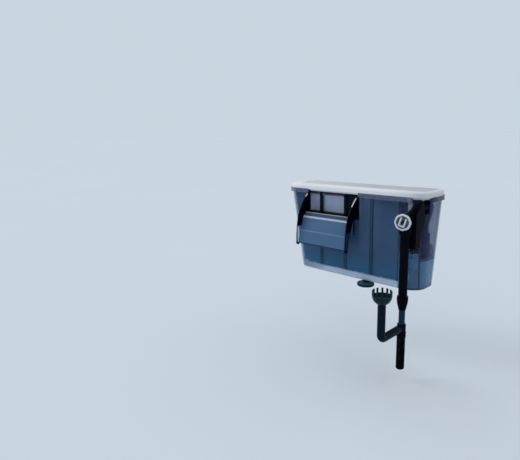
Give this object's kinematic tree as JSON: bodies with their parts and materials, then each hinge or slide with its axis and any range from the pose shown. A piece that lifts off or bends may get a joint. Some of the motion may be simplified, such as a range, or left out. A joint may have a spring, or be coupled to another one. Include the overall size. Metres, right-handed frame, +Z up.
{
  "type": "hang on back aquarium filter",
  "caption": "Hang-on-back aquarium filter: lidded box with media baskets and pump, spillway that hooks on the glass, telescopic intake tube with strainer and surface skimmer cup.",
  "frame": {"origin": "on the underside of the spillway, where it rests on the edge of the aquarium glass: midway along the box and in the middle of the 12 mm glass slot", "axes": "+X along the box towards the pump end, +Y away from the aquarium, +Z up"},
  "size_m": [0.34, 0.2245, 0.3271],
  "materials": {
    "clear_plastic": "clear, faintly violet-blue, glossy",
    "white_plastic": "white, satin gloss",
    "blue_plastic": "translucent steel blue, glossy",
    "black_plastic": "near-black, glossy",
    "smoke_plastic": "dark smoke blue, glossy",
    "white_floss": "bonded filter floss",
    "carbon_mesh": "granular carbon in a mesh bag",
    "black_sponge": "open-cell sponge",
    "motor_plastic": "dark moulded plastic",
    "core_steel": "laminated steel",
    "copper_wire": "wound copper",
    "ferrite": "ferrite magnet",
    "shaft_steel": "polished shaft",
    "soft_rubber": "soft rubber",
    "knob_plastic": "clear frosted white",
    "tube_plastic": "translucent dark blue",
    "navy_plastic": "dark navy, glossy",
    "teal_plastic": "dark teal, glossy"
  },
  "bodies": {
    "housing": {"tank": "clear_plastic", "spillway_chute": "blue_plastic", "intake_saddle": "black_plastic", "divider_1": "black_plastic", "divider_2": "black_plastic", "divider_3": "black_plastic", "divider_4": "black_plastic", "media_basket_1": "smoke_plastic", "media_basket_2": "smoke_plastic", "media_basket_3": "smoke_plastic", "media_basket_4": "smoke_plastic", "floss_pad_1": "white_floss", "floss_pad_2": "white_floss", "carbon_pack_1": "carbon_mesh", "carbon_pack_2": "carbon_mesh", "sponge_block_3": "black_sponge", "sponge_block_4": "black_sponge", "pump_shelf": "smoke_plastic", "motor_cover": "motor_plastic", "motor_housing": "motor_plastic", "stator_core": "core_steel", "stator_coil": "copper_wire", "impeller_shaft": "shaft_steel", "lower_bush": "soft_rubber", "upper_bush": "soft_rubber", "volute": "motor_plastic", "inlet_sleeve": "soft_rubber", "intake_arm": "black_plastic", "outer_tube": "black_plastic", "cam_pin": "teal_plastic", "cord_gland": "soft_rubber"},
    "cover": {"lid": "white_plastic"},
    "valve": {"flow_knob": "knob_plastic", "valve_vane": "black_plastic", "knob_seal": "soft_rubber"},
    "clamp_ring": {"collar": "black_plastic", "collar_seal": "soft_rubber"},
    "telescope": {"extension_tube": "tube_plastic"},
    "skimmer": {"tee": "black_plastic", "skimmer_arm": "navy_plastic"},
    "crown": {"skimmer_cup": "teal_plastic"},
    "inlet": {"strainer": "black_plastic"},
    "rotor": {"rotor_magnet": "ferrite", "impeller": "white_plastic"},
    "leveller": {"levelling_cam": "teal_plastic"}
  },
  "joints": [
    {"name": "lid_lift", "type": "slide", "parent": "housing", "child": "cover", "axis": [0, 0, 1], "range_m": [0, 0.06]},
    {"name": "knob_turn", "type": "hinge", "parent": "housing", "child": "valve", "pos_m": [0.1475, -0.0352, 0.016], "axis": [0.2079, -0.9781, 0], "range_deg": [0, 90]},
    {"name": "collar_turn", "type": "hinge", "parent": "housing", "child": "clamp_ring", "pos_m": [0.1475, -0.0352, -0.135], "axis": [0, 0, 1], "range_deg": [0, 120]},
    {"name": "tube_extend", "type": "slide", "parent": "housing", "child": "telescope", "axis": [0, 0, 1], "range_m": [-0.045, 0.022]},
    {"name": "skimmer_swing", "type": "hinge", "parent": "telescope", "child": "skimmer", "pos_m": [0.1475, -0.0352, -0.1848], "axis": [0, 0, 1], "range_deg": [-90, 90]},
    {"name": "cup_raise", "type": "slide", "parent": "skimmer", "child": "crown", "axis": [0, 0, 1], "range_m": [0, 0.018]},
    {"name": "strainer_pull", "type": "slide", "parent": "telescope", "child": "inlet", "axis": [0, 0, -1], "range_m": [0, 0.03]},
    {"name": "impeller_spin", "type": "hinge", "parent": "housing", "child": "rotor", "pos_m": [0.1375, 0.055, -0.065], "axis": [0, 0, 1], "continuous": true},
    {"name": "cam_turn", "type": "hinge", "parent": "housing", "child": "leveller", "pos_m": [0.036, 0.019, -0.131], "axis": [0, 0, 1], "continuous": true}
  ]
}
